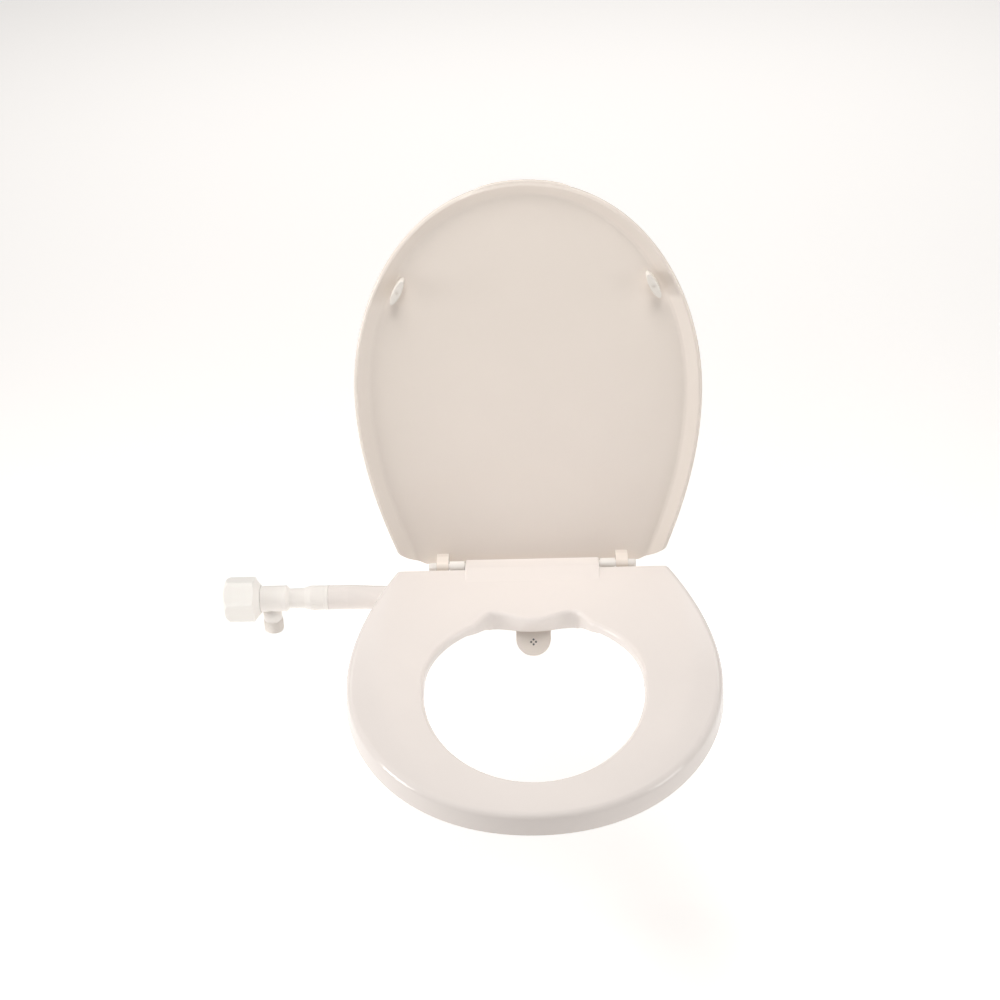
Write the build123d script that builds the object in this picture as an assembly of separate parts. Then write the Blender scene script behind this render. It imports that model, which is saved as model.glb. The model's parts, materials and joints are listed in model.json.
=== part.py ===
from build123d import *

import os
from math import acos, atan2, cos, degrees, pi, sin

# A toilet seat with a water-fed bidet built in: seat, lid, hinges and a valve on a side arm.
# All sizes are in millimetres. The origin is midway between the two bowl studs on the bowl
# deck, +X to the user's left as they sit, +Y towards the wall, +Z up. The lid stands open.

# Hinge and bowl fixing
HINGE_Z = 28.0  # hinge line above the deck; the line runs along X through y = 0
STUD_X = 80.0  # half the spacing of the bowl's holes
STUD_R = 4.0  # M8
STUD_ROOT_R = 3.9  # stud under its washer and inside the post
DECK = 22.0  # bowl deck clamped between pad and cone washer
STUD_END = -58.0
STUD_TOP = 16.0
PAD = 2.0
FOOT_R = 17.0
FOOT_TOP = 6.0
BARREL_R = 5.8
BARREL = (72.6, 88.6)  # x span of a post's barrel
LID_ARM = (89.6, 102.4)  # x span of a lid arm
PIN_R = 3.0
PIN_RUN = 0.05  # running clearance round a pin
PIN_END = 58.0
PIN_HEAD = (102.8, 111.0)
PIN_HEAD_R = 4.4

# Seat
SEAT_BASE = 9.3
SEAT_TOP = 30.0
SEAT_HALF = 184.8  # half width at the foot of the skirt
SEAT_NOSE = 411.3  # hinge line to the foot of the skirt at the front
SEAT_REAR = 9.4
REAR_SPARE = 8.0  # the rear is rounded this far back and then cut off square
REAR_EDGE_R = 1.5
SEAT_DRAFT = 1.8  # lean of the skirt over its height
EDGE_R = 6.5  # rounding of the outer top edge
INNER_EDGE_R = 4.0  # rounding round the opening
WALL = 3.4
TONGUE_HALF = 72.0  # raised tongue between the posts, holding the pins
TONGUE_BACK = 7.6
TONGUE_TOP = 32.4
TONGUE_FRONT = -36.0
OPEN_HALF = 106.5
OPEN_FRONT_MID = -217.0  # centre of the front half of the opening
OPEN_REAR_MID = -205.0  # centre of the rear half; its sides are straight in between
OPEN_FRONT = 144.1
OPEN_REAR = 108.0
WAVE_START = 62.0  # the wave takes over from the rear half here
LOBE_X = 41.0  # rearmost places of the wave
LIP_BASE = 21.0  # foot of the opening's wall, which is deep only round the nozzle
DEEP_HALF = 55.0  # half width of that deep part
RIB_MID = -210.0  # the stiffening ribs fan out from here
BOSS_R = 4.5
FOOT_PEG_R = 4.0
FOOT_PEG_TOP = 17.0
SCREW_R = 1.5
COVER_UNDER = 9.5  # underside of the rear cover
COVER_TOP = 11.5
HOLDER_UNDER = 11.9  # underside of the nozzle holder
HOLDER_TOP = 20.0

# Shared plan of seat and lid
WIDEST = 187.3  # hinge line to the widest place
TAPER = 40.8  # how much the half width falls towards the hinge
TAPER_POWER = 1.85
SIDE_FULL = 0.50  # how far the front curve keeps to its side line
NOSE_FULL = 0.64  # and to its front line

# Lid, drawn closed
LID_OPEN = 97.85  # degrees
LID_RIM = 37.0  # height of the rim when closed
LID_HALF = 180.5
LID_NOSE = 411.4
LID_CORNER = 10.5
LID_REAR = 4.4
LID_REAR_HALF = 115.0
LID_THICK = 14.0
LID_DISH = 8.0
LID_CROWN_R = 9.0
LID_CORNER_R = 9.5  # rear corners
LID_LIP = 4.0  # rim width before the dish begins
LID_BAND = (16.5, 14.0)  # rim width at the dish floor: sides, front
LID_LIP_R = 3.0
LID_DISH_R = 7.0  # rounding where the slope of the rim meets the dish floor
LID_TAB = (52.0, 14.0, 2.0)  # finger tab: half width, half depth, reach past the rim
ARM_FRONT = -8.0  # front of the lid arms where they leave the lid
BUFFER_AT = (129.7, -303.6)
BUFFER_SIZE = (28.0, 8.6)
BUFFER_TURN = 28.0

# Valve and arm, all on one line along X
VALVE_Y = -38.0
VALVE_Z = 17.0
ARM_R = 13.0
ARM_ROUND = -195.0  # the arm is round from here outwards
ARM_END = -226.5
ARM_SHOULDER = -216.0
THREAD_R = 11.6
BORE_R = 6.5
BORE_END = -164.0
STUB_R = 5.8  # threaded end of the arm inside the skirt
PIPE_R = 4.0
SOCKET_R = 8.0
RUN = 0.05
NECK_R = 10.6
FLANGE_R = 11.5
BODY_R = 13.8
CHAMBER_R = 9.0
BODY_OUT = -288.0
BONNET_IN = -283.4
SPINDLE_R = 4.0
INLET_X = -278.0
INLET_R = 10.4775  # G1/2 thread, 20.955 mm over its crests
INLET_COLLAR_R = 9.9
INLET_END = -22.5
INLET_THREAD = 15.0
INLET_BORE = 6.8
KNOB_FLATS = 43.2  # across flats
KNOB_IN = -288.4
KNOB_OUT = -327.4
KNOB_TURN = 43.2  # angle of one corner of the knob at rest
KNOB_RIM_R = 25.4

# Nozzle
NOZZLE_HALF = 18.0
NOZZLE_LENGTH = 40.0
NOZZLE_THICK = 6.0
NOZZLE_TIP = (0.0, -112.6, -10.6)
JET_AT = 14.0
JET_STEP = 2.5
JET_R = 0.85

FEET = [(76.0, -362.0), (-76.0, -362.0), (130.0, -139.0), (-130.0, -139.0)]
COVER_SCREWS = [(40, -20), (-40, -20), (62, -74), (-62, -74), (125, -64), (-125, -64)]
HOLDER_SCREWS = [(12.0, -74.0), (-12.0, -74.0)]
HINGE = Axis((0, 0, HINGE_Z), (1, 0, 0))


def save(node, *shapes):
    """Write one node; each piece in it stays a separate solid."""
    solids = [solid for shape in shapes for solid in shape.solids()]
    export_step(Compound(solids), f"parts/{node}.step")
    print(node, len(solids), round(sum(solid.volume for solid in solids)))


def rod_x(radius, x0, x1, y, z):
    return Pos((x0 + x1) / 2, y, z) * Rot(0, 90, 0) * Cylinder(radius, abs(x1 - x0))


def rod_y(radius, y0, y1, x, z):
    return Pos(x, (y0 + y1) / 2, z) * Rot(90, 0, 0) * Cylinder(radius, abs(y1 - y0))


def rod_z(radius, z0, z1, x, y):
    return Pos(x, y, (z0 + z1) / 2) * Cylinder(radius, abs(z1 - z0))


def block(x, y, z):
    """Box from three (low, high) pairs."""
    size = [span[1] - span[0] for span in (x, y, z)]
    middle = [(span[0] + span[1]) / 2 for span in (x, y, z)]
    return Pos(*middle) * Box(*size)


def turned_x(points, y=VALVE_Y, z=VALVE_Z):
    """Solid turned about a line along X, from (x, radius) points."""
    profile = make_face(Polyline(*points, close=True))
    return Pos(0, y, z) * revolve(profile, Axis.X)


def turned_z(points, x=0.0, y=0.0):
    """Solid turned about a line along Z, from (radius, z) points."""
    profile = Plane.XZ * make_face(Polyline(*points, close=True))
    return Pos(x, y, 0) * revolve(profile, Axis.Z)


def both_sides(shape):
    """The shape and its mirror image on the other side of the middle."""
    return [shape, mirror(shape, Plane.YZ)]


def plan_edges(half, nose, rear):
    """Both sides and the front of the plan, from one rear corner round to the other."""
    corner = half_width(half, rear)
    lean = TAPER * TAPER_POWER / WIDEST * (1 - rear / WIDEST) ** (TAPER_POWER - 1)
    knee = rear + (half - corner) / lean
    side = Bezier((corner, -rear), (half, -knee), (half, -WIDEST))
    shoulder = WIDEST + SIDE_FULL * (nose - WIDEST)
    front = Bezier((half, -WIDEST), (half, -shoulder), (NOSE_FULL * half, -nose), (0, -nose))
    return both_sides(side) + both_sides(front)


def half_width(half, t):
    """Half width at a distance t in front of the hinge line, behind the widest place."""
    return half - TAPER * ((WIDEST - t) / WIDEST) ** TAPER_POWER


def seat_plan(inset, z, rear=SEAT_REAR):
    """Plan of the seat, drawn in by `inset` from the foot of its skirt."""
    half, nose, back = SEAT_HALF - inset, SEAT_NOSE - inset, rear + inset
    corner = half_width(half, back)
    edges = plan_edges(half, nose, back)
    edges.append(Line((corner, -back), (-corner, -back)))
    return Pos(0, 0, z) * make_face(edges)


def opening_plan(grow, bump, lobe, z):
    """Opening: half ellipse in front, a rounder one behind, cut off by a wave at the rear."""
    half, front, rear = OPEN_HALF + grow, OPEN_FRONT + grow, OPEN_REAR + grow
    share = WAVE_START / half
    start_y = OPEN_REAR_MID + rear * (1 - share**2) ** 0.5
    slope = rear / half * share / (1 - share**2) ** 0.5
    top, low = lobe + grow, lobe + grow - bump
    reach = 9.0
    nose = EllipticalCenterArc((0, OPEN_FRONT_MID), half, front, start_angle=180, arc_size=180)
    straight = Line((half, OPEN_FRONT_MID), (half, OPEN_REAR_MID))
    turn = degrees(acos(share))
    side = EllipticalCenterArc((0, OPEN_REAR_MID), half, rear, start_angle=0, arc_size=turn)
    lobe_out = Bezier(
        (WAVE_START, start_y), (WAVE_START - reach, start_y + reach * slope),
        (LOBE_X + reach, top), (LOBE_X, top),
    )
    lobe_in = Bezier((LOBE_X, top), (0.58 * LOBE_X, top), (0.45 * LOBE_X, low), (0, low))
    halves = both_sides(straight) + both_sides(side) + both_sides(lobe_out) + both_sides(lobe_in)
    return Pos(0, 0, z) * make_face([nose] + halves)


def opening_solid(grow, z0, z1):
    """Through cut whose rear wall leans back under the bump."""
    return loft([opening_plan(grow, 5.5, -93.5, z0), opening_plan(grow, 15.8, -93.0, z1)], ruled=True)


def seat_crown():
    """Seat ring before it is hollowed: rounded all round, cut off square at the rear."""
    rear = SEAT_REAR - REAR_SPARE
    foot = seat_plan(0, SEAT_BASE, rear)
    crown = seat_plan(SEAT_DRAFT, SEAT_TOP, rear)
    body = loft([foot, crown], ruled=True)
    body = fillet(body.faces().sort_by(Axis.Z)[-1].edges(), EDGE_R)
    body -= block((-200, 200), (-SEAT_REAR, 20), (SEAT_BASE - 1, SEAT_TOP + 1))
    behind = body.faces().sort_by(Axis.Y)[-1]
    body = fillet([e for e in behind.edges() if e.center().Z > SEAT_BASE + 0.1], REAR_EDGE_R)
    body -= opening_solid(0, SEAT_BASE, SEAT_TOP)
    top = body.faces().sort_by(Axis.Z)[-1]
    return fillet(top.inner_wires()[0].edges(), INNER_EDGE_R)


def tongue():
    """Block between the posts, swelling up a little to cover the pins."""
    points = [
        (TONGUE_FRONT, SEAT_BASE), (TONGUE_FRONT, SEAT_TOP - 0.2), (-10.0, TONGUE_TOP),
        (TONGUE_BACK, TONGUE_TOP), (TONGUE_BACK, SEAT_BASE),
    ]
    outline = Plane.YZ * make_face(Polyline(*points, close=True))
    body = Pos(-TONGUE_HALF, 0, 0) * extrude(outline, 2 * TONGUE_HALF)
    upright = [e for e in body.edges() if e.center().Y > TONGUE_BACK - 0.1 and abs(e.center().X) > 70]
    body = fillet(upright, 2.5)
    behind = [e for e in body.edges() if e.center().Y > -9.0 and e.center().Z > TONGUE_TOP - 0.1]
    return fillet([e for e in behind if e.center().Y > TONGUE_BACK - 3.0], 2.4)


def lip_trim():
    """Room under the opening's wall, which hangs low only round the nozzle."""
    inner = opening_solid(WALL + 0.5, SEAT_BASE - 1, LIP_BASE)
    under, wide = SEAT_BASE - 2, 2 * OPEN_HALF
    points = [(DEEP_HALF, under), (wide, under), (wide, LIP_BASE + 1), (DEEP_HALF + 12, LIP_BASE + 1)]
    wing = Pos(0, -60, 0) * extrude(Plane.XZ * make_face(Polyline(*points, close=True)), 340)
    room = wing + mirror(wing, Plane.YZ)
    room += block((-DEEP_HALF - 20, DEEP_HALF + 20), (-400, -180), (under, LIP_BASE + 1))
    return inner & room


def seat_hollow(ceiling):
    """Space under the seat, less the bosses and ribs left standing in it."""
    lean = SEAT_DRAFT * (ceiling - SEAT_BASE) / (SEAT_TOP - SEAT_BASE)
    hollow = loft([seat_plan(WALL, SEAT_BASE), seat_plan(WALL + lean, ceiling)], ruled=True)
    inner = TONGUE_HALF - WALL
    hollow += block((-inner, inner), (-30, TONGUE_BACK - WALL), (SEAT_BASE, ceiling))
    hollow -= opening_solid(WALL, SEAT_BASE - 1, ceiling + 1)
    for x, y in FEET:
        hollow -= rod_z(2 * BOSS_R, SEAT_BASE, ceiling, x, y)
    for x, y in COVER_SCREWS:
        hollow -= rod_z(BOSS_R, COVER_TOP, ceiling, x, y)
    for x, y in HOLDER_SCREWS:
        hollow -= rod_z(BOSS_R - 0.5, HOLDER_TOP, ceiling, x, y)
    for sign in (1, -1):
        span = sorted((sign * 55.0, sign * TONGUE_HALF))
        hollow -= block(span, (-9.0, TONGUE_BACK), (SEAT_BASE + 6, ceiling))
    hollow -= block((-160, -146), (-60, -16), (SEAT_BASE, ceiling))
    for turn in (*range(-160, 1, 20), 20, 160):
        rib = block((90, 200), (-1.2, 1.2), (LIP_BASE + 0.5, ceiling))
        hollow -= Pos(0, RIB_MID, 0) * Rot(0, 0, turn) * rib
    return hollow


def seat_shell():
    body = seat_crown() + tongue()
    body -= seat_hollow(SEAT_TOP - WALL)
    body -= lip_trim()
    for x, y in FEET:
        body -= rod_z(FOOT_PEG_R, SEAT_BASE, FOOT_PEG_TOP + 1, x, y)
    for x, y in COVER_SCREWS:
        body -= rod_z(SCREW_R, COVER_TOP, 23.0, x, y)
    for x, y in HOLDER_SCREWS:
        body -= rod_z(SCREW_R, HOLDER_TOP, 25.0, x, y)
    for sign in (1, -1):
        body -= rod_x(PIN_R + PIN_RUN, sign * (PIN_END - 0.5), sign * (TONGUE_HALF + 1), 0, HINGE_Z)
    return body - rod_x(STUB_R, -175, -140, VALVE_Y, VALVE_Z)


def rear_cover():
    """Plate that closes the water space from below, with a gap for the nozzle."""
    low, high = COVER_UNDER, COVER_TOP
    inside = loft([seat_plan(WALL + 0.6, low), seat_plan(WALL + 0.7, high)], ruled=True)
    plate = inside & block((-145, 145), (-90, -12), (low, high))
    plate += block((-54, 54), (-20, TONGUE_BACK - WALL - 0.5), (low, high))
    plate -= opening_solid(WALL + 0.6, low - 1, high + 1)
    plate -= block((-21, 21), (-120, -63), (low - 1, high + 1))
    plate -= block((-146, -140.5), (VALVE_Y - 9.5, VALVE_Y + 9.5), (low - 1, high + 1))
    for x, y in COVER_SCREWS:
        plate -= rod_z(1.8, low - 1, high + 1, x, y)
    return plate


def pan_screw(x, y, z, length):
    """Pan-head screw standing up from its head at z, with a cross recess."""
    head = rod_z(3.4, z - 2.2, z, x, y)
    head = fillet(head.faces().sort_by(Axis.Z)[0].edges(), 0.9)
    screw = head + rod_z(SCREW_R, z, z + length, x, y)
    for size in ((3.2, 0.8), (0.8, 3.2)):
        screw -= Pos(x, y, z - 2.0) * Box(size[0], size[1], 1.4)
    return screw


def seat_buffer(x, y):
    pad = rod_z(9.0, 0, SEAT_BASE, x, y)
    pad = fillet(pad.faces().sort_by(Axis.Z)[0].edges(), 1.5)
    return pad + rod_z(FOOT_PEG_R, SEAT_BASE, FOOT_PEG_TOP, x, y)


def lid_plan(height):
    """Outline of the closed lid, with its rear corners cut off."""
    corner = half_width(LID_HALF, LID_CORNER)
    edges = plan_edges(LID_HALF, LID_NOSE, LID_CORNER)
    edges += both_sides(Line((corner, -LID_CORNER), (LID_REAR_HALF, LID_REAR)))
    edges.append(Line((LID_REAR_HALF, LID_REAR), (-LID_REAR_HALF, LID_REAR)))
    return Pos(0, 0, height) * make_face(edges)


def dish_plan(side, nose, height):
    """Outline of the dish, which runs out through the rear of the lid."""
    half = LID_HALF - side
    corner, past = half_width(half, LID_CORNER), 20.0
    edges = plan_edges(half, LID_NOSE - nose, LID_CORNER)
    edges += both_sides(Line((corner, -LID_CORNER), (corner - 12, past)))
    edges.append(Line((corner - 12, past), (12 - corner, past)))
    return Pos(0, 0, height) * make_face(edges)


def lid_shell():
    top, floor = LID_RIM + LID_THICK, LID_RIM + LID_DISH
    body = extrude(lid_plan(LID_RIM), LID_THICK)
    upright = [e for e in body.edges() if abs(e.length - LID_THICK) < 0.1 and e.center().Y > -40]
    body = fillet(upright, LID_CORNER_R)
    body = fillet(body.faces().sort_by(Axis.Z)[-1].edges(), LID_CROWN_R)
    body = fillet(body.faces().sort_by(Axis.Z)[0].edges(), LID_LIP_R)
    dish = loft([dish_plan(LID_LIP, LID_LIP, LID_RIM), dish_plan(*LID_BAND, floor)], ruled=True)
    dish = fillet(dish.faces().sort_by(Axis.Z)[-1].edges(), LID_DISH_R)
    wide, deep, past = LID_TAB
    tab = Pos(0, deep - LID_NOSE - past, LID_RIM + 0.6) * extrude(Ellipse(wide, deep), 4.0)
    tab = fillet(tab.edges(), 1.4)
    body += tab
    body -= dish
    for sign in (1, -1):
        body += lid_arm(sign, top)
    buffers = [lid_buffer(sign, floor) for sign in (1, -1)]
    return body, buffers


def lid_arm(sign, top):
    """Arm from the lid's underside down round its pin: a round eye with a tapering web."""
    front, low = ARM_FRONT, LID_RIM - HINGE_Z
    away = (front**2 + low**2) ** 0.5
    turn = atan2(low, front) + acos(BARREL_R / away)
    inside = top - 5.0 - HINGE_Z
    points = [
        (front, inside),
        (front, low),
        (BARREL_R * cos(turn), BARREL_R * sin(turn)),
        (0, 0),
        (BARREL_R, 0),
        (BARREL_R, low - 3.0),
        (LID_REAR - 2.4, low + 2.0),
        (LID_REAR - 2.4, inside),
    ]
    wide = LID_ARM[1] - LID_ARM[0]
    start = sorted((sign * LID_ARM[0], sign * LID_ARM[1]))[0]
    outline = Plane.YZ * make_face(Polyline(*points, close=True))
    web = Pos(start, 0, HINGE_Z) * extrude(outline, wide)
    arm = web + rod_x(BARREL_R, start, start + wide, 0, HINGE_Z)
    return arm - rod_x(PIN_R + PIN_RUN, start - 1, start + wide + 1, 0, HINGE_Z)


def lid_buffer(sign, floor):
    length, wide = BUFFER_SIZE
    low = SEAT_TOP + 0.3
    pad = Pos(0, 0, low) * extrude(Ellipse(length / 2, wide / 2), floor - low)
    pad = fillet(pad.faces().sort_by(Axis.Z)[0].edges(), 1.0)
    pad -= rod_z(1.3, low - 1, low + 1, 0, 0)
    return Pos(sign * BUFFER_AT[0], BUFFER_AT[1], 0) * Rot(0, 0, 90 - sign * BUFFER_TURN) * pad


def opened(shape):
    """Lid parts are drawn closed and shown standing open."""
    return shape.rotate(HINGE, -LID_OPEN)


def hinge_post():
    foot = rod_z(FOOT_R, PAD, FOOT_TOP, STUD_X, 0)
    foot = fillet(foot.faces().sort_by(Axis.Z)[-1].edges(), 1.5)
    column = block(BARREL, (-BARREL_R, BARREL_R), (PAD, HINGE_Z))
    post = foot + column + rod_x(BARREL_R, *BARREL, 0, HINGE_Z)
    post -= rod_z(STUD_ROOT_R, PAD - 1, STUD_TOP, STUD_X, 0)
    return post - rod_x(PIN_R, BARREL[0] - 1, BARREL[1] + 1, 0, HINGE_Z)


def hinge_stud():
    shank = rod_z(STUD_ROOT_R, 0, STUD_TOP, STUD_X, 0) + rod_z(STUD_R, -DECK, 0, STUD_X, 0)
    lower = rod_z(STUD_ROOT_R, STUD_END, -DECK, STUD_X, 0)
    return shank + chamfer(lower.faces().sort_by(Axis.Z)[0].edges(), 1.0)


def base_pad():
    return rod_z(FOOT_R, 0, PAD, STUD_X, 0) - rod_z(STUD_ROOT_R + 0.8, -1, PAD + 1, STUD_X, 0)


def cone_washer():
    hole, low = STUD_ROOT_R + 0.1, -DECK - 10
    points = [(hole, -DECK - 0.1), (15, -DECK - 0.1), (15, -DECK - 3), (9, low), (hole, low)]
    return turned_z(points, STUD_X)


def wing_nut():
    top, low = -DECK - 10.1, -DECK - 24
    points = [(STUD_ROOT_R, top), (10, top), (10, top - 2.5), (8, low), (STUD_ROOT_R, low)]
    nut = turned_z(points, STUD_X)
    for sign in (1, -1):
        wing = Plane.XZ * make_face(
            Polyline(
                (sign * 7, low + 1), (sign * 20, low - 4), (sign * 20, low + 4),
                (sign * 9, top - 2), (sign * 7, top - 2), close=True,
            )
        )
        nut += Pos(STUD_X, 2, 0) * extrude(wing, 4)
    return nut


def hinge_pin():
    head = rod_x(PIN_HEAD_R, *PIN_HEAD, 0, HINGE_Z)
    head = fillet(head.faces().sort_by(Axis.X)[-1].edges(), 1.5)
    return head + rod_x(PIN_R, PIN_END, PIN_HEAD[0], 0, HINGE_Z)


def arm_section(x, share):
    """Closed section of the arm: a circle at share 0, a flat-topped pad at share 1."""
    points = []
    for k in range(24):
        angle = 2 * pi * k / 24
        across, up = cos(angle), sin(angle)
        squareness = 0.42 if up > 0 else 0.75
        y = -2.0 + 15.0 * (abs(across) ** squareness) * (1 if across > 0 else -1)
        z = -1.0 + 8.0 * (abs(up) ** squareness) * (1 if up > 0 else -1)
        points.append(
            (ARM_R * across * (1 - share) + y * share, ARM_R * up * (1 - share) + z * share)
        )
    curve = Spline(points, periodic=True)
    return Pos(x, VALVE_Y, VALVE_Z) * (Plane.YZ * make_face(curve))


def side_arm():
    """Arm from the skirt outwards: a flat-topped root that turns round, then a tube."""
    tube = loft([arm_section(x, 0.0) for x in (ARM_SHOULDER, ARM_ROUND)], ruled=True)
    stations = [(ARM_ROUND, 0.0), (-182.0, 0.28), (-166.0, 0.72), (-140.0, 1.0)]
    root = loft([arm_section(x, share) for x, share in stations])
    below = SEAT_BASE - 5.0
    spread = SEAT_DRAFT * (below - SEAT_BASE) / (SEAT_TOP - SEAT_BASE)
    root -= loft([seat_plan(spread, below), seat_plan(SEAT_DRAFT, SEAT_TOP)], ruled=True)
    root = max(root.solids(), key=lambda piece: piece.volume)
    nose = rod_x(THREAD_R, ARM_END, ARM_SHOULDER + 5, VALVE_Y, VALVE_Z)
    stub = rod_x(STUB_R, ARM_ROUND, -134, VALVE_Y, VALVE_Z)
    arm = tube + root + nose + stub
    arm -= rod_x(BORE_R, ARM_END - 1, BORE_END, VALVE_Y, VALVE_Z)
    arm -= rod_x(PIPE_R, BORE_END - 1, -130, VALVE_Y, VALVE_Z)
    return arm - rod_x(SOCKET_R + RUN, ARM_END - 1, ARM_END + 13.5, VALVE_Y, VALVE_Z)


def arm_nut():
    nut = block((-146, -141), (VALVE_Y - 9, VALVE_Y + 9), (VALVE_Z - 6.5, VALVE_Z + 7.0))
    return nut - rod_x(STUB_R, -150, -130, VALVE_Y, VALVE_Z)


def swivel_ring():
    points = [
        (-216.3, THREAD_R), (-216.3, 12.8), (-216.8, 13.2), (-219.6, 13.2), (-220.0, 12.8),
        (-220.8, 12.8), (-221.2, 13.1), (-235.0, 13.1), (-241.0, 11.5),
        (-241.0, NECK_R + RUN), (-230.3, NECK_R + RUN), (-230.3, THREAD_R),
    ]
    ring = turned_x(points)
    for k in range(20):
        groove = Pos(-228.5, 0, 13.25) * Box(8.0, 1.0, 0.8)
        ring -= Pos(0, VALVE_Y, VALVE_Z) * Rot(18 * k, 0, 0) * groove
    return ring


def valve_body():
    points = [
        (-214.0, 5.5), (-214.0, SOCKET_R), (-216.5, SOCKET_R), (-216.5, 6.4), (-218.3, 6.4),
        (-218.3, SOCKET_R), (-220.5, SOCKET_R), (-220.5, 6.4), (-222.3, 6.4),
        (-222.3, SOCKET_R), (-227.0, SOCKET_R), (-227.0, FLANGE_R), (-230.0, FLANGE_R),
        (-230.0, NECK_R), (-257.8, NECK_R), (-260.9, BODY_R + 0.3), (-263.4, BODY_R + 0.3),
        (-263.9, BODY_R), (BODY_OUT, BODY_R),
        (BODY_OUT, CHAMBER_R), (-262.0, CHAMBER_R), (-262.0, 4.0), (-256.0, 4.0), (-256.0, 5.5),
    ]
    body = turned_x(points)
    return body - rod_z(SOCKET_R, 0, 14, INLET_X, VALVE_Y)


def neck_o_ring(x):
    return Pos(x, VALVE_Y, VALVE_Z) * Rot(0, 90, 0) * Torus(7.2, 0.78)


def inlet_spigot():
    thread_top = INLET_END + INLET_THREAD
    outer = rod_z(INLET_COLLAR_R, thread_top, VALVE_Z, INLET_X, VALVE_Y)
    outer -= rod_x(BODY_R + 0.01, -300, -240, VALVE_Y, VALVE_Z)
    outer += rod_z(INLET_R, INLET_END, thread_top, INLET_X, VALVE_Y)
    plug = rod_z(SOCKET_R - 0.01, 0, VALVE_Z, INLET_X, VALVE_Y)
    outer += plug - rod_x(CHAMBER_R, -300, -240, VALVE_Y, VALVE_Z)
    outer -= rod_z(INLET_BORE, INLET_END - 1, 2.0, INLET_X, VALVE_Y)
    return outer - rod_z(4.0, 0, VALVE_Z, INLET_X, VALVE_Y)


def inlet_strainer():
    disc = rod_z(INLET_BORE, -20.0, -18.8, INLET_X, VALVE_Y)
    rim = rod_z(INLET_BORE, -21.5, -18.8, INLET_X, VALVE_Y)
    disc += rim - rod_z(5.6, -22.0, -18.0, INLET_X, VALVE_Y)
    for reach, count in ((0.0, 1), (2.0, 6), (4.0, 12)):
        for k in range(count):
            turn = 2 * pi * k / count
            hole = rod_z(0.6, -23, -17, INLET_X + reach * cos(turn), VALVE_Y + reach * sin(turn))
            disc -= hole
    return disc


def check_cage():
    cage = rod_z(INLET_BORE, -16.0, 0.0, INLET_X, VALVE_Y)
    cage -= rod_z(5.5, -14.5, -1.5, INLET_X, VALVE_Y)
    cage -= rod_z(3.2, -17.0, -14.0, INLET_X, VALVE_Y)
    cage -= rod_z(1.55, -2.0, 1.0, INLET_X, VALVE_Y)
    for k in range(4):
        turn = 2 * pi * k / 4
        cage -= rod_z(1.2, -2, 1, INLET_X + 3.8 * cos(turn), VALVE_Y + 3.8 * sin(turn))
    return cage


def check_poppet():
    disc = rod_z(4.6, -14.4, -12.9, INLET_X, VALVE_Y)
    return disc + rod_z(1.5, -12.9, -0.4, INLET_X, VALVE_Y)


def check_spring():
    path = Helix(pitch=2.3, height=9.2, radius=2.9)
    start = path @ 0
    wire = Plane(origin=start, z_dir=path % 0) * Circle(0.35)
    return Pos(INLET_X, VALVE_Y, -11.9) * sweep(wire, path, is_frenet=True)


def bonnet():
    points = [
        (BONNET_IN, SPINDLE_R + RUN), (BONNET_IN, CHAMBER_R), (BODY_OUT, CHAMBER_R),
        (BODY_OUT, 11.5), (-292.0, 11.5), (-292.0, 7.5), (-299.0, 7.5), (-299.0, SPINDLE_R + RUN),
        (-297.3, SPINDLE_R + RUN), (-297.3, 5.25), (-295.6, 5.25), (-295.6, SPINDLE_R + RUN),
    ]
    return turned_x(points)


def gland_o_ring():
    return Pos(-296.45, VALVE_Y, VALVE_Z) * Rot(0, 90, 0) * Torus(4.64, 0.56)


def spindle():
    shaft = rod_x(SPINDLE_R, -316.0, -270.5, VALVE_Y, VALVE_Z)
    shaft += rod_x(7.5, BONNET_IN + 0.3, BONNET_IN + 2.3, VALVE_Y, VALVE_Z)
    return shaft - rod_x(1.6, -317.0, -308.0, VALVE_Y, VALVE_Z)


def jumper():
    points = [
        (-265.6, 0), (-265.6, 7.5), (-268.6, 7.5), (-268.6, 5.5), (-274.0, 5.5),
        (-274.0, SPINDLE_R + RUN), (-266.6, SPINDLE_R + RUN), (-266.6, 0),
    ]
    return turned_x(points)


def jumper_washer():
    return rod_x(6.5, -265.6, -262.15, VALVE_Y, VALVE_Z)


def knob():
    """Six-sided hand knob, cut to a cone at the valve end and a dome at the outer end."""
    outline = [
        (KNOB_IN, 12.8), (KNOB_IN, 15.2), (-293.8, 21.6), (-295.4, KNOB_RIM_R),
        (-319.6, KNOB_RIM_R), (-324.0, 22.6), (-326.6, 18.4), (KNOB_OUT, 13.0),
        (KNOB_OUT, 5.2), (-320.0, 5.2),
        (-320.0, 2.1), (-316.0, 2.1), (-316.0, SPINDLE_R), (-300.5, SPINDLE_R), (-300.5, 12.8),
    ]
    body = turned_x(outline)
    flats = Plane.YZ * RegularPolygon(KNOB_FLATS / 2, 6, major_radius=False, rotation=KNOB_TURN)
    prism = Pos(KNOB_OUT - 1, VALVE_Y, VALVE_Z) * extrude(flats, 50)
    corners = [e for e in prism.edges() if abs(e.length - 50) < 0.1]
    prism = fillet(corners, 2.5)
    return body & prism


def knob_screw():
    head = rod_x(4.0, -322.5, -320.0, VALVE_Y, VALVE_Z)
    head += rod_x(1.6, -320.0, -308.5, VALVE_Y, VALVE_Z)
    for size in ((0.9, 4.4), (4.4, 0.9)):
        head -= Pos(-322.3, VALVE_Y, VALVE_Z) * Box(1.6, size[0], size[1])
    return head


def knob_cap():
    cap = rod_x(5.2, KNOB_OUT, -324.0, VALVE_Y, VALVE_Z)
    rim = cap.faces().sort_by(Axis.X)[0].edges()
    return fillet(rim, 0.8)


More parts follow.
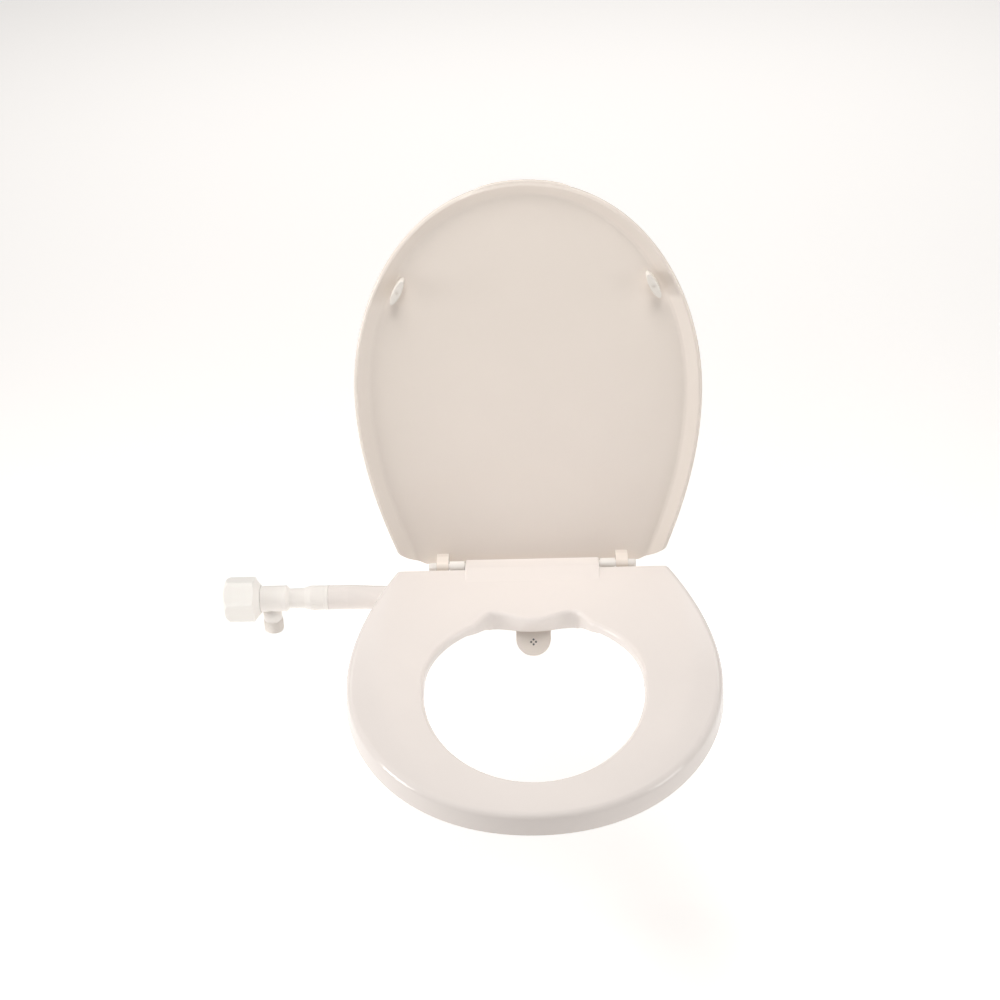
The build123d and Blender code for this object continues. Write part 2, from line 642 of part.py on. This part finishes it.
def pipe_seal():
    bush = rod_x(BORE_R, BORE_END - 9, BORE_END, VALVE_Y, VALVE_Z)
    return bush - rod_x(PIPE_R, BORE_END - 10, BORE_END + 1, VALVE_Y, VALVE_Z)


def feed_pipe():
    route = FilletPolyline(
        (BORE_END - 10, VALVE_Y, VALVE_Z), (0, VALVE_Y, VALVE_Z), (0, -72, VALVE_Z), radius=15
    )
    start = Plane(origin=route @ 0, z_dir=route % 0)
    return sweep(start * Circle(PIPE_R), route) - sweep(start * Circle(2.8), route)


def nozzle_plane():
    return Plane(origin=NOZZLE_TIP, x_dir=(1, 0, 0), z_dir=(0, -1, 1))


def nozzle_blank(length):
    face = Pos(0, NOZZLE_HALF) * Circle(NOZZLE_HALF)
    face += Pos(0, (NOZZLE_HALF + length) / 2) * Rectangle(2 * NOZZLE_HALF, length - NOZZLE_HALF)
    return extrude(nozzle_plane() * face, -NOZZLE_THICK)


def nozzle_plate():
    plate = nozzle_blank(NOZZLE_LENGTH)
    lower = [e for e in plate.edges() if e.center().Z < NOZZLE_TIP[2] + 12]
    plate = fillet(lower, 0.8)
    frame = nozzle_plane()
    plate -= frame * Pos(0, JET_AT, -3.0) * Cylinder(4.4, 2.4)
    channel = Pos(0, (JET_AT + NOZZLE_LENGTH) / 2, -3.0) * Rot(90, 0, 0)
    plate -= frame * channel * Cylinder(1.5, NOZZLE_LENGTH - JET_AT + 1.0)
    for x, y in ((JET_STEP, 0), (-JET_STEP, 0), (0, JET_STEP), (0, -JET_STEP)):
        plate -= frame * Pos(x, JET_AT + y, -1.0) * Cylinder(JET_R, 2.4)
    return plate


def nozzle_holder():
    holder = block((-16.5, 16.5), (-90, -66), (HOLDER_UNDER, HOLDER_TOP))
    holder += block((-8.0, 8.0), (-82, -66), (HOLDER_UNDER, 24.0))
    front = nozzle_plane() * Pos(0, 40, 15) * Box(60, 80, 30 + 2 * NOZZLE_THICK)
    holder -= front
    holder -= rod_y(PIPE_R, -72.0, -60.0, 0, VALVE_Z)
    frame = nozzle_plane()
    holder -= frame * Pos(0, NOZZLE_LENGTH + 3, -3.0) * Rot(90, 0, 0) * Cylinder(1.5, 8)
    holder -= rod_y(2.8, -80.5, -71.0, 0, VALVE_Z)
    for x, y in HOLDER_SCREWS:
        holder -= rod_z(1.7, 0, 30, x, y)
    return holder


def main():
    os.makedirs("parts", exist_ok=True)
    save("seat_shell", seat_shell())
    save("rear_cover", rear_cover())
    save("cover_screws", *[pan_screw(x, y, COVER_UNDER, 12) for x, y in COVER_SCREWS])
    save("seat_buffers", *[seat_buffer(x, y) for x, y in FEET])
    save("side_arm", side_arm())
    save("arm_nut", arm_nut())
    save("swivel_ring", swivel_ring())
    save("pipe_seal", pipe_seal())
    save("feed_pipe", feed_pipe())
    save("nozzle_plate", nozzle_plate())
    save("nozzle_holder", nozzle_holder())
    save("holder_screws", *[pan_screw(x, y, HOLDER_UNDER, 12) for x, y in HOLDER_SCREWS])

    lid, buffers = lid_shell()
    save("lid_shell", opened(lid))
    save("lid_buffers", *[opened(buffer) for buffer in buffers])

    save("hinge_posts", *both_sides(hinge_post()))
    save("base_pads", *both_sides(base_pad()))
    save("hinge_studs", *both_sides(hinge_stud()))
    save("cone_washers", *both_sides(cone_washer()))
    save("wing_nuts", *both_sides(wing_nut()))
    save("hinge_pins", *both_sides(hinge_pin()))

    save("valve_body", valve_body())
    save("neck_o_rings", neck_o_ring(-217.4), neck_o_ring(-221.4))
    save("inlet_spigot", inlet_spigot())
    save("inlet_strainer", inlet_strainer())
    save("check_cage", check_cage())
    save("check_poppet", check_poppet())
    save("check_spring", check_spring())
    save("bonnet", bonnet())
    save("gland_o_ring", gland_o_ring())
    save("spindle", spindle())
    save("jumper", jumper())
    save("jumper_washer", jumper_washer())
    save("knob", knob())
    save("knob_screw", knob_screw())
    save("knob_cap", knob_cap())


main()
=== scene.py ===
"""Looks of the water-fed bidet seat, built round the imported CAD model."""

import json
from math import cos, pi, radians, sin, sqrt

import bmesh
import bpy
from mathutils import Matrix, Vector


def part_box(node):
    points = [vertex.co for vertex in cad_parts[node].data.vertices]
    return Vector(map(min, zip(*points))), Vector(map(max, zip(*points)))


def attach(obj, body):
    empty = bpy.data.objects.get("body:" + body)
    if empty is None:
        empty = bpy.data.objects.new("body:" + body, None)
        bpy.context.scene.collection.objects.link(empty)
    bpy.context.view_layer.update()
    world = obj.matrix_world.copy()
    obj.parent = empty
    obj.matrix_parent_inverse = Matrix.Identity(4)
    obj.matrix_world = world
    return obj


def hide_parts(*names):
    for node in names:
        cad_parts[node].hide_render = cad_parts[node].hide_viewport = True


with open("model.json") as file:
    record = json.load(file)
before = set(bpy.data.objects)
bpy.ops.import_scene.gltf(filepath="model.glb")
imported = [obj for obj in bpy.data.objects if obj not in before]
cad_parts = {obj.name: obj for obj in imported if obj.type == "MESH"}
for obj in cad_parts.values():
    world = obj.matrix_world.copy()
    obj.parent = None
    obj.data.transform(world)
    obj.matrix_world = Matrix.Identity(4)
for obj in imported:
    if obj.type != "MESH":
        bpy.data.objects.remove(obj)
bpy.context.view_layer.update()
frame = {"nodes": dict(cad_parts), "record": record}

SCENE = bpy.context.scene

# Camera: degrees, metres and millimetres of lens
CAMERA_AT = (0.0105, -1.5700, 1.0262)
CAMERA_DOWN = 30.281  # below the horizon
CAMERA_TURN = 2.162
CAMERA_ROLL = 2.447
LENS = 62.34
SENSOR = 36.0
LENS_SHIFT = (0.016, 0.001)

# Stage
FLOOR_Z = -0.42  # the floor under a bowl of the usual height
FLOOR_REACH = 40.0
FLOOR_COLOUR = (0.92, 0.905, 0.89, 1.0)
FLOOR_GLOW = (1.0, 0.975, 0.955, 1.0)
FLOOR_GLOW_STRENGTH = 0.5
LAMP_COLOUR = (1.0, 0.985, 0.965)
ROOM_COLOUR = (1.0, 0.98, 0.96, 1.0)
ROOM_STRENGTH = 0.1

# Scales of the noise patterns, in features to the metre
CLOUD_SCALE = 9.0
SMEAR_SCALE = 38.0
RIPPLE_SCALE = 420.0
TURNING_SCALE = 900.0
RUBBED_EDGE = (0.52, 0.62)  # pointiness at which the lighter edge begins and is full
PLASTIC_IOR = 1.49

# Water inlet, in metres like every size below
THREAD_PITCH = 0.001814  # G1/2, 14 turns to the inch
THREAD_DEPTH = 0.00116
THREAD_LENGTH = 0.015
THREAD_RIDGE = 1.35  # over 1, so that the crests come out flat
THREAD_RUNOUT = 0.0003  # between the last turn and the collar
THREAD_ROWS = 112
SPIGOT_STEPS = 96
SPIGOT_BORE = 0.0068
SPIGOT_BORE_DEPTH = 0.0175
SPIGOT_TOP = 0.0085  # inside the valve body
MOUTH_CHAMFER = 0.0006
END_CHAMFER = 0.0008
END_GAP = 0.0001  # between the chamfer and the first turn
COLLAR = 0.0099
COLLAR_SLOPE = 0.0006

# Foot of the seat's opening wall: a cubic curve's (x, z) points, and the y it is cut through
LIP_CURVE = ((0.044, 0.0085), (0.050, 0.0132), (0.057, 0.0202), (0.067, 0.0202))
LIP_DEPTH = (-0.0905, -0.125)
LIP_STEPS = 16
LIP_MARGIN = 0.004  # how far the cutter reaches below the curve

# Nozzle, and the dark cups in its jets that paint the shade inside the jet bores
NOZZLE_LENGTH = 0.040
NOZZLE_THICK = 0.006
JET_AT = 0.014  # from the nozzle's tip to the middle of the four
JET_STEP = 0.0025
JET_R = 0.00113
JET_DEPTH = 0.0016
JET_PROUD = 0.00003
JET_RIM = 0.82  # inner edge of the dark cup's rim, as a share of its radius
JET_PIT = (0.45, 0.0005)  # share of the radius, and depth
JET_SIDES = 32


# Stage ----------------------------------------------------------------------------------


def add_camera():
    """Camera at the photograph's viewing angle."""
    down, turn, roll = radians(CAMERA_DOWN), radians(CAMERA_TURN), radians(CAMERA_ROLL)
    back = Vector((sin(turn) * cos(down), -cos(turn) * cos(down), sin(down)))
    level = Vector((cos(turn), sin(turn), 0.0))
    upright = back.cross(level)
    right = level * cos(roll) - upright * sin(roll)
    up = level * sin(roll) + upright * cos(roll)
    data = bpy.data.cameras.new("camera")
    data.lens = LENS
    data.sensor_width = SENSOR
    data.shift_x, data.shift_y = LENS_SHIFT
    camera = bpy.data.objects.new("camera", data)
    turned = Matrix((right, up, back)).transposed().to_4x4()
    camera.matrix_world = Matrix.Translation(CAMERA_AT) @ turned
    SCENE.collection.objects.link(camera)
    SCENE.camera = camera


def add_light(name, place, target, size, watts, spread=180.0, mirrored=True):
    """Rectangular soft light aimed at a point; a small spread keeps its beam narrow.

    A light that isn't mirrored doesn't show in glossy surfaces."""
    data = bpy.data.lights.new(name, "AREA")
    data.shape = "RECTANGLE"
    data.size, data.size_y = size
    data.energy = watts
    data.color = LAMP_COLOUR
    data.spread = radians(spread)
    light = bpy.data.objects.new(name, data)
    aim = Vector(target) - Vector(place)
    light.rotation_euler = aim.to_track_quat("-Z", "Y").to_euler()
    light.location = place
    light.visible_glossy = mirrored
    SCENE.collection.objects.link(light)


def add_lights():
    """Soft panels overhead, at both sides and for the backdrop, and narrow fills from in front."""
    add_light("overhead", (-0.1, -0.3, 1.9), (0, -0.25, 0), (1.5, 0.8), 27.0, mirrored=False)
    add_light("lid_beam", (-0.6, -2.1, 1.55), (0, 0.04, 0.27), (0.35, 0.35), 0.08, spread=20.0)
    add_light(
        "lid_fill", (-0.1, -1.7, 0.55), (0, 0.03, 0.09), (0.2, 0.2), 0.022,
        spread=14.0, mirrored=False,
    )
    add_light(
        "inlet_fill", (-0.45, -1.7, 0.35), (-0.278, -0.04, 0.0), (0.15, 0.15), 0.007,
        spread=9.0, mirrored=False,
    )
    add_light("left", (-1.8, -0.35, 0.45), (0, -0.2, 0.05), (0.7, 0.7), 13.0)
    add_light("right", (1.8, -0.55, 0.45), (0, -0.2, 0.05), (0.7, 0.7), 7.5)
    add_light("backdrop", (0, 3.2, 1.6), (0, 3.3, FLOOR_Z), (4.0, 2.5), 30.0)


def add_room():
    """Faint even light from all round, shown with plain colours."""
    world = bpy.data.worlds.new("studio")
    world.use_nodes = True
    background = world.node_tree.nodes["Background"]
    background.inputs["Color"].default_value = ROOM_COLOUR
    background.inputs["Strength"].default_value = ROOM_STRENGTH
    SCENE.world = world
    SCENE.view_settings.view_transform = "Standard"


def add_floor():
    """Large pale floor, bright enough to read as white paper."""
    reach = FLOOR_REACH
    corners = ((-reach, -reach), (reach, -reach), (reach, reach), (-reach, reach))
    mesh = bpy.data.meshes.new("floor")
    mesh.from_pydata([(x, y, FLOOR_Z) for x, y in corners], [], [(0, 1, 2, 3)])
    floor = bpy.data.objects.new("floor", mesh)
    SCENE.collection.objects.link(floor)
    paper = bpy.data.materials.new("paper")
    paper.use_nodes = True
    shader = paper.node_tree.nodes["Principled BSDF"]
    shader.inputs["Base Color"].default_value = FLOOR_COLOUR
    shader.inputs["Roughness"].default_value = 0.9
    shader.inputs["Emission Color"].default_value = FLOOR_GLOW
    shader.inputs["Emission Strength"].default_value = FLOOR_GLOW_STRENGTH
    mesh.materials.append(paper)


# Materials ------------------------------------------------------------------------------


def node(tree, kind, **inputs):
    """New shader node with some of its inputs set; an underscore stands for a space."""
    made = tree.nodes.new(kind)
    for name, value in inputs.items():
        made.inputs[name.replace("_", " ")].default_value = value
    return made


def new_material(name):
    """Material, its node tree, its shader and the object coordinates that patterns follow."""
    material = bpy.data.materials.new(name)
    material.use_nodes = True
    tree = material.node_tree
    return material, tree, tree.nodes["Principled BSDF"], tree.nodes.new("ShaderNodeTexCoord")


def noise(tree, place, scale, detail, roughness):
    """Noise pattern fixed to the object; returns its grey value."""
    pattern = node(tree, "ShaderNodeTexNoise", Scale=scale, Detail=detail, Roughness=roughness)
    tree.links.new(place.outputs["Object"], pattern.inputs["Vector"])
    return pattern.outputs["Fac"]


def vary_gloss(tree, shader, pattern, least, most):
    """Roughness that wanders between two values with a pattern."""
    gloss = node(tree, "ShaderNodeMapRange", To_Min=least, To_Max=most)
    tree.links.new(pattern, gloss.inputs["Value"])
    tree.links.new(gloss.outputs["Result"], shader.inputs["Roughness"])


def add_relief(tree, shader, pattern, strength, distance):
    """Fine relief that follows a pattern."""
    bump = node(tree, "ShaderNodeBump", Strength=strength, Distance=distance)
    tree.links.new(pattern, bump.inputs["Height"])
    tree.links.new(bump.outputs["Normal"], shader.inputs["Normal"])


def tone(colour, factor):
    """Colour made darker or lighter by a factor, with its alpha."""
    return (*[min(1.0, channel * factor) for channel in colour], 1.0)


def plastic(name, colour, roughness=0.18, grain=0.03, shade=0.03, scale=1.0):
    """Moulded plastic: faint flow mottling, fine surface ripple and slightly rubbed edges."""
    material, tree, shader, place = new_material(name)
    link = tree.links.new
    shader.inputs["IOR"].default_value = PLASTIC_IOR

    tint = tree.nodes.new("ShaderNodeMixRGB")
    tint.inputs[1].default_value = tone(colour, 1 - shade)
    tint.inputs[2].default_value = tone(colour, 1 + shade)
    link(noise(tree, place, CLOUD_SCALE * scale, 3.0, 0.5), tint.inputs[0])

    geometry = tree.nodes.new("ShaderNodeNewGeometry")
    edge = tree.nodes.new("ShaderNodeValToRGB")
    for stop, position in zip(edge.color_ramp.elements, RUBBED_EDGE):
        stop.position = position
    link(geometry.outputs["Pointiness"], edge.inputs["Fac"])
    rub = tree.nodes.new("ShaderNodeMixRGB")
    rub.inputs[2].default_value = tone(colour, 1.06)
    link(edge.outputs["Color"], rub.inputs[0])
    link(tint.outputs[0], rub.inputs[1])
    link(rub.outputs[0], shader.inputs["Base Color"])

    smears = noise(tree, place, SMEAR_SCALE * scale, 4.0, 0.6)
    vary_gloss(tree, shader, smears, roughness * 0.8, roughness * 1.25)
    ripple = noise(tree, place, RIPPLE_SCALE * scale, 2.0, 0.5)
    add_relief(tree, shader, ripple, grain, 0.0004)
    return material


def rubber(name, colour, roughness=0.6):
    """Soft elastomer: matt, with a fine moulding texture and dusty variation."""
    return plastic(name, colour, roughness=roughness, grain=0.25, shade=0.06, scale=1.4)


def metal(name, colour, roughness=0.3):
    """Turned or drawn metal with a fine machined grain."""
    material, tree, shader, place = new_material(name)
    shader.inputs["Base Color"].default_value = (*colour, 1.0)
    shader.inputs["Metallic"].default_value = 1.0
    turning = noise(tree, place, TURNING_SCALE, 2.0, 0.7)
    vary_gloss(tree, shader, turning, roughness * 0.7, roughness * 1.4)
    add_relief(tree, shader, turning, 0.1, 0.0002)
    return material


MATERIALS = {
    "seat_plastic": plastic("seat_plastic", (0.87, 0.81, 0.775), roughness=0.12),
    "lid_plastic": plastic("lid_plastic", (0.84, 0.765, 0.70), roughness=0.08),
    "hinge_plastic": plastic("hinge_plastic", (0.88, 0.84, 0.80), roughness=0.2),
    "valve_plastic": plastic("valve_plastic", (0.945, 0.905, 0.865), roughness=0.3, grain=0.06),
    "knob_plastic": plastic("knob_plastic", (0.97, 0.935, 0.895), roughness=0.3, grain=0.06),
    "nozzle_plastic": plastic("nozzle_plastic", (0.84, 0.77, 0.71), roughness=0.3, grain=0.05),
    "buffer_rubber": rubber("buffer_rubber", (0.82, 0.78, 0.73), roughness=0.5),
    "rubber": rubber("rubber", (0.09, 0.09, 0.09)),
    "nylon": plastic("nylon", (0.80, 0.79, 0.74), roughness=0.35, grain=0.1),
    "steel": metal("steel", (0.60, 0.60, 0.60)),
    "brass": metal("brass", (0.70, 0.52, 0.26), roughness=0.35),
}


def dress_cad_nodes():
    """Give every CAD node the material of its slot."""
    for row in frame["record"]["subparts"]:
        cad = frame["nodes"][row["node"]]
        material = MATERIALS[row["material_slot"]]
        if not cad.data.materials:
            cad.data.materials.append(material)
        for slot in cad.material_slots:
            slot.material = material


# Detail pieces ----------------------------------------------------------------------------


def mesh_object(name, mesh):
    """Object in the scene from a bmesh, which is used up."""
    data = bpy.data.meshes.new(name)
    mesh.to_mesh(data)
    mesh.free()
    made = bpy.data.objects.new(name, data)
    SCENE.collection.objects.link(made)
    return made


def finish_piece(mesh, name, body, slot):
    """Smooth piece with outward faces from a bmesh, riding on a body with a slot's material."""
    bmesh.ops.remove_doubles(mesh, verts=mesh.verts, dist=1e-7)
    bmesh.ops.recalc_face_normals(mesh, faces=mesh.faces)
    piece = mesh_object(name, mesh)
    for face in piece.data.polygons:
        face.use_smooth = True
    piece.data.materials.append(MATERIALS[slot])
    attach(piece, body)
    return piece


def join_rings(mesh, lower, upper):
    """Band of faces between two rings of as many points."""
    count = len(lower)
    for k in range(count):
        after = (k + 1) % count
        mesh.faces.new((lower[k], lower[after], upper[after], upper[k]))


def lathe(mesh, rows, centre, steps, shape=None):
    """Closed skin through (radius, z) rows turned about a line along Z.

    `shape` may change a row's radius by its place round the line."""
    rings = []
    for radius, z in rows:
        ring = []
        for k in range(steps):
            turn = 2 * pi * k / steps
            reach = radius if shape is None else shape(radius, z, turn)
            ring.append(mesh.verts.new((centre[0] + reach * cos(turn), centre[1] + reach * sin(turn), z)))
        rings.append(ring)
    for lower, upper in zip(rings, rings[1:]):
        join_rings(mesh, lower, upper)
    mesh.faces.new(rings[0])
    mesh.faces.new(rings[-1])


def threaded_spigot():
    """Water inlet with its G1/2 thread cut as a real helix, standing for the plain CAD one."""
    low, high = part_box("inlet_spigot")
    centre = ((low[0] + high[0]) / 2, (low[1] + high[1]) / 2)
    crest = (high[0] - low[0]) / 2
    root = crest - THREAD_DEPTH
    foot = low[2]
    thread_end = foot + THREAD_LENGTH

    def helix(radius, z, turn):
        """Rows at the crest's radius wave between root and crest; the others stay round."""
        if radius != crest:
            return radius
        wave = 0.5 + 0.5 * cos(2 * pi * (z / THREAD_PITCH - turn / (2 * pi)))
        ridge = min(1.0, THREAD_RIDGE * wave)
        lead = min(1.0, (z - foot) / THREAD_PITCH, (thread_end - z) / THREAD_PITCH)
        return root + THREAD_DEPTH * ridge * max(0.0, lead)

    first = END_CHAMFER + END_GAP
    span = THREAD_LENGTH - first - THREAD_RUNOUT
    rows = [
        (SPIGOT_BORE, foot + SPIGOT_BORE_DEPTH),
        (SPIGOT_BORE, foot + MOUTH_CHAMFER),
        (SPIGOT_BORE + MOUTH_CHAMFER, foot),
        (root - END_GAP - END_CHAMFER, foot),
        (root - END_GAP, foot + END_CHAMFER),
    ]
    rows += [(crest, foot + first + span * k / THREAD_ROWS) for k in range(THREAD_ROWS)]
    rows += [(root, thread_end), (COLLAR, thread_end + COLLAR_SLOPE), (COLLAR, SPIGOT_TOP)]
    mesh = bmesh.new()
    lathe(mesh, rows, centre, SPIGOT_STEPS, helix)
    spigot = finish_piece(mesh, "threaded_spigot", "valve", "valve_plastic")
    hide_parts("inlet_spigot")


def lip_outline():
    """Points of the cutter's outline: along the lip's curve and back below it."""
    points = []
    for k in range(LIP_STEPS + 1):
        t = k / LIP_STEPS
        shares = ((1 - t) ** 3, 3 * t * (1 - t) ** 2, 3 * t * t * (1 - t), t**3)
        points.append(tuple(
            sum(share * point[axis] for share, point in zip(shares, LIP_CURVE)) for axis in (0, 1)
        ))
    (inner_x, inner_z), outer_x = LIP_CURVE[0], LIP_CURVE[-1][0]
    below = inner_z - LIP_MARGIN
    return points + [(outer_x, below), (inner_x, below)]


def lip_cutter():
    """Two mirrored blocks under the lip's curve, one at each end of the opening's deep wall."""
    outline = lip_outline()
    mesh = bmesh.new()
    for sign in (1, -1):
        rear, front = [[mesh.verts.new((sign * x, y, z)) for x, z in outline] for y in LIP_DEPTH]
        mesh.faces.new(rear)
        mesh.faces.new(front)
        join_rings(mesh, rear, front)
    bmesh.ops.recalc_face_normals(mesh, faces=mesh.faces)
    return mesh_object("lip_cutter", mesh)


def trimmed_seat():
    """Seat shell with the foot of its opening's wall rising smoothly at both ends."""
    cutter = lip_cutter()
    rough = bpy.data.objects.new("rough_seat", frame["nodes"]["seat_shell"].data.copy())
    SCENE.collection.objects.link(rough)
    cut = rough.modifiers.new("lip", "BOOLEAN")
    cut.operation = "DIFFERENCE"
    cut.solver = "EXACT"
    cut.object = cutter
    bpy.context.view_layer.update()
    cut_seat = rough.evaluated_get(bpy.context.evaluated_depsgraph_get())
    shaped = bpy.data.meshes.new_from_object(cut_seat)
    for spare in (rough, cutter):
        bpy.data.objects.remove(spare)
    shaped.materials.clear()
    shaped.materials.append(MATERIALS["seat_plastic"])
    seat = bpy.data.objects.new("trimmed_seat", shaped)
    SCENE.collection.objects.link(seat)
    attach(seat, "seat")
    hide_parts("seat_shell")


def painted_jet_shade():
    """Dark cups set in the nozzle's four jets as painted shade of their bores; it slopes down to the
    front at 45 degrees.
    """
    low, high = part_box("nozzle_plate")
    slant = sqrt(0.5)
    tip = Vector((
        (low[0] + high[0]) / 2,
        high[1] - (NOZZLE_LENGTH + NOZZLE_THICK) * slant,
        high[2] - NOZZLE_LENGTH * slant,
    ))
    sideways, along, out = Vector((1, 0, 0)), Vector((0, slant, slant)), Vector((0, -slant, slant))
    tilt = Matrix((sideways, along, out)).transposed().to_4x4()
    pit_share, pit_depth = JET_PIT
    rows = [
        (JET_R, -JET_DEPTH),
        (JET_R, JET_PROUD),
        (JET_R * JET_RIM, JET_PROUD),
        (JET_R * pit_share, -pit_depth),
    ]
    mesh = bmesh.new()
    for across, up in ((1, 0), (-1, 0), (0, 1), (0, -1)):
        spot = tip + sideways * across * JET_STEP + along * (JET_AT + up * JET_STEP)
        cup = bmesh.new()
        lathe(cup, rows, (0, 0), JET_SIDES)
        cup.transform(Matrix.Translation(spot) @ tilt)
        part = bpy.data.meshes.new("cup")
        cup.to_mesh(part)
        cup.free()
        mesh.from_mesh(part)
        bpy.data.meshes.remove(part)
    # the black rubber material on these cups paints the shade inside the jets
    finish_piece(mesh, "painted_jet_shade", "seat", "rubber")


add_camera()
add_floor()
add_lights()
add_room()
dress_cad_nodes()
threaded_spigot()
trimmed_seat()
painted_jet_shade()
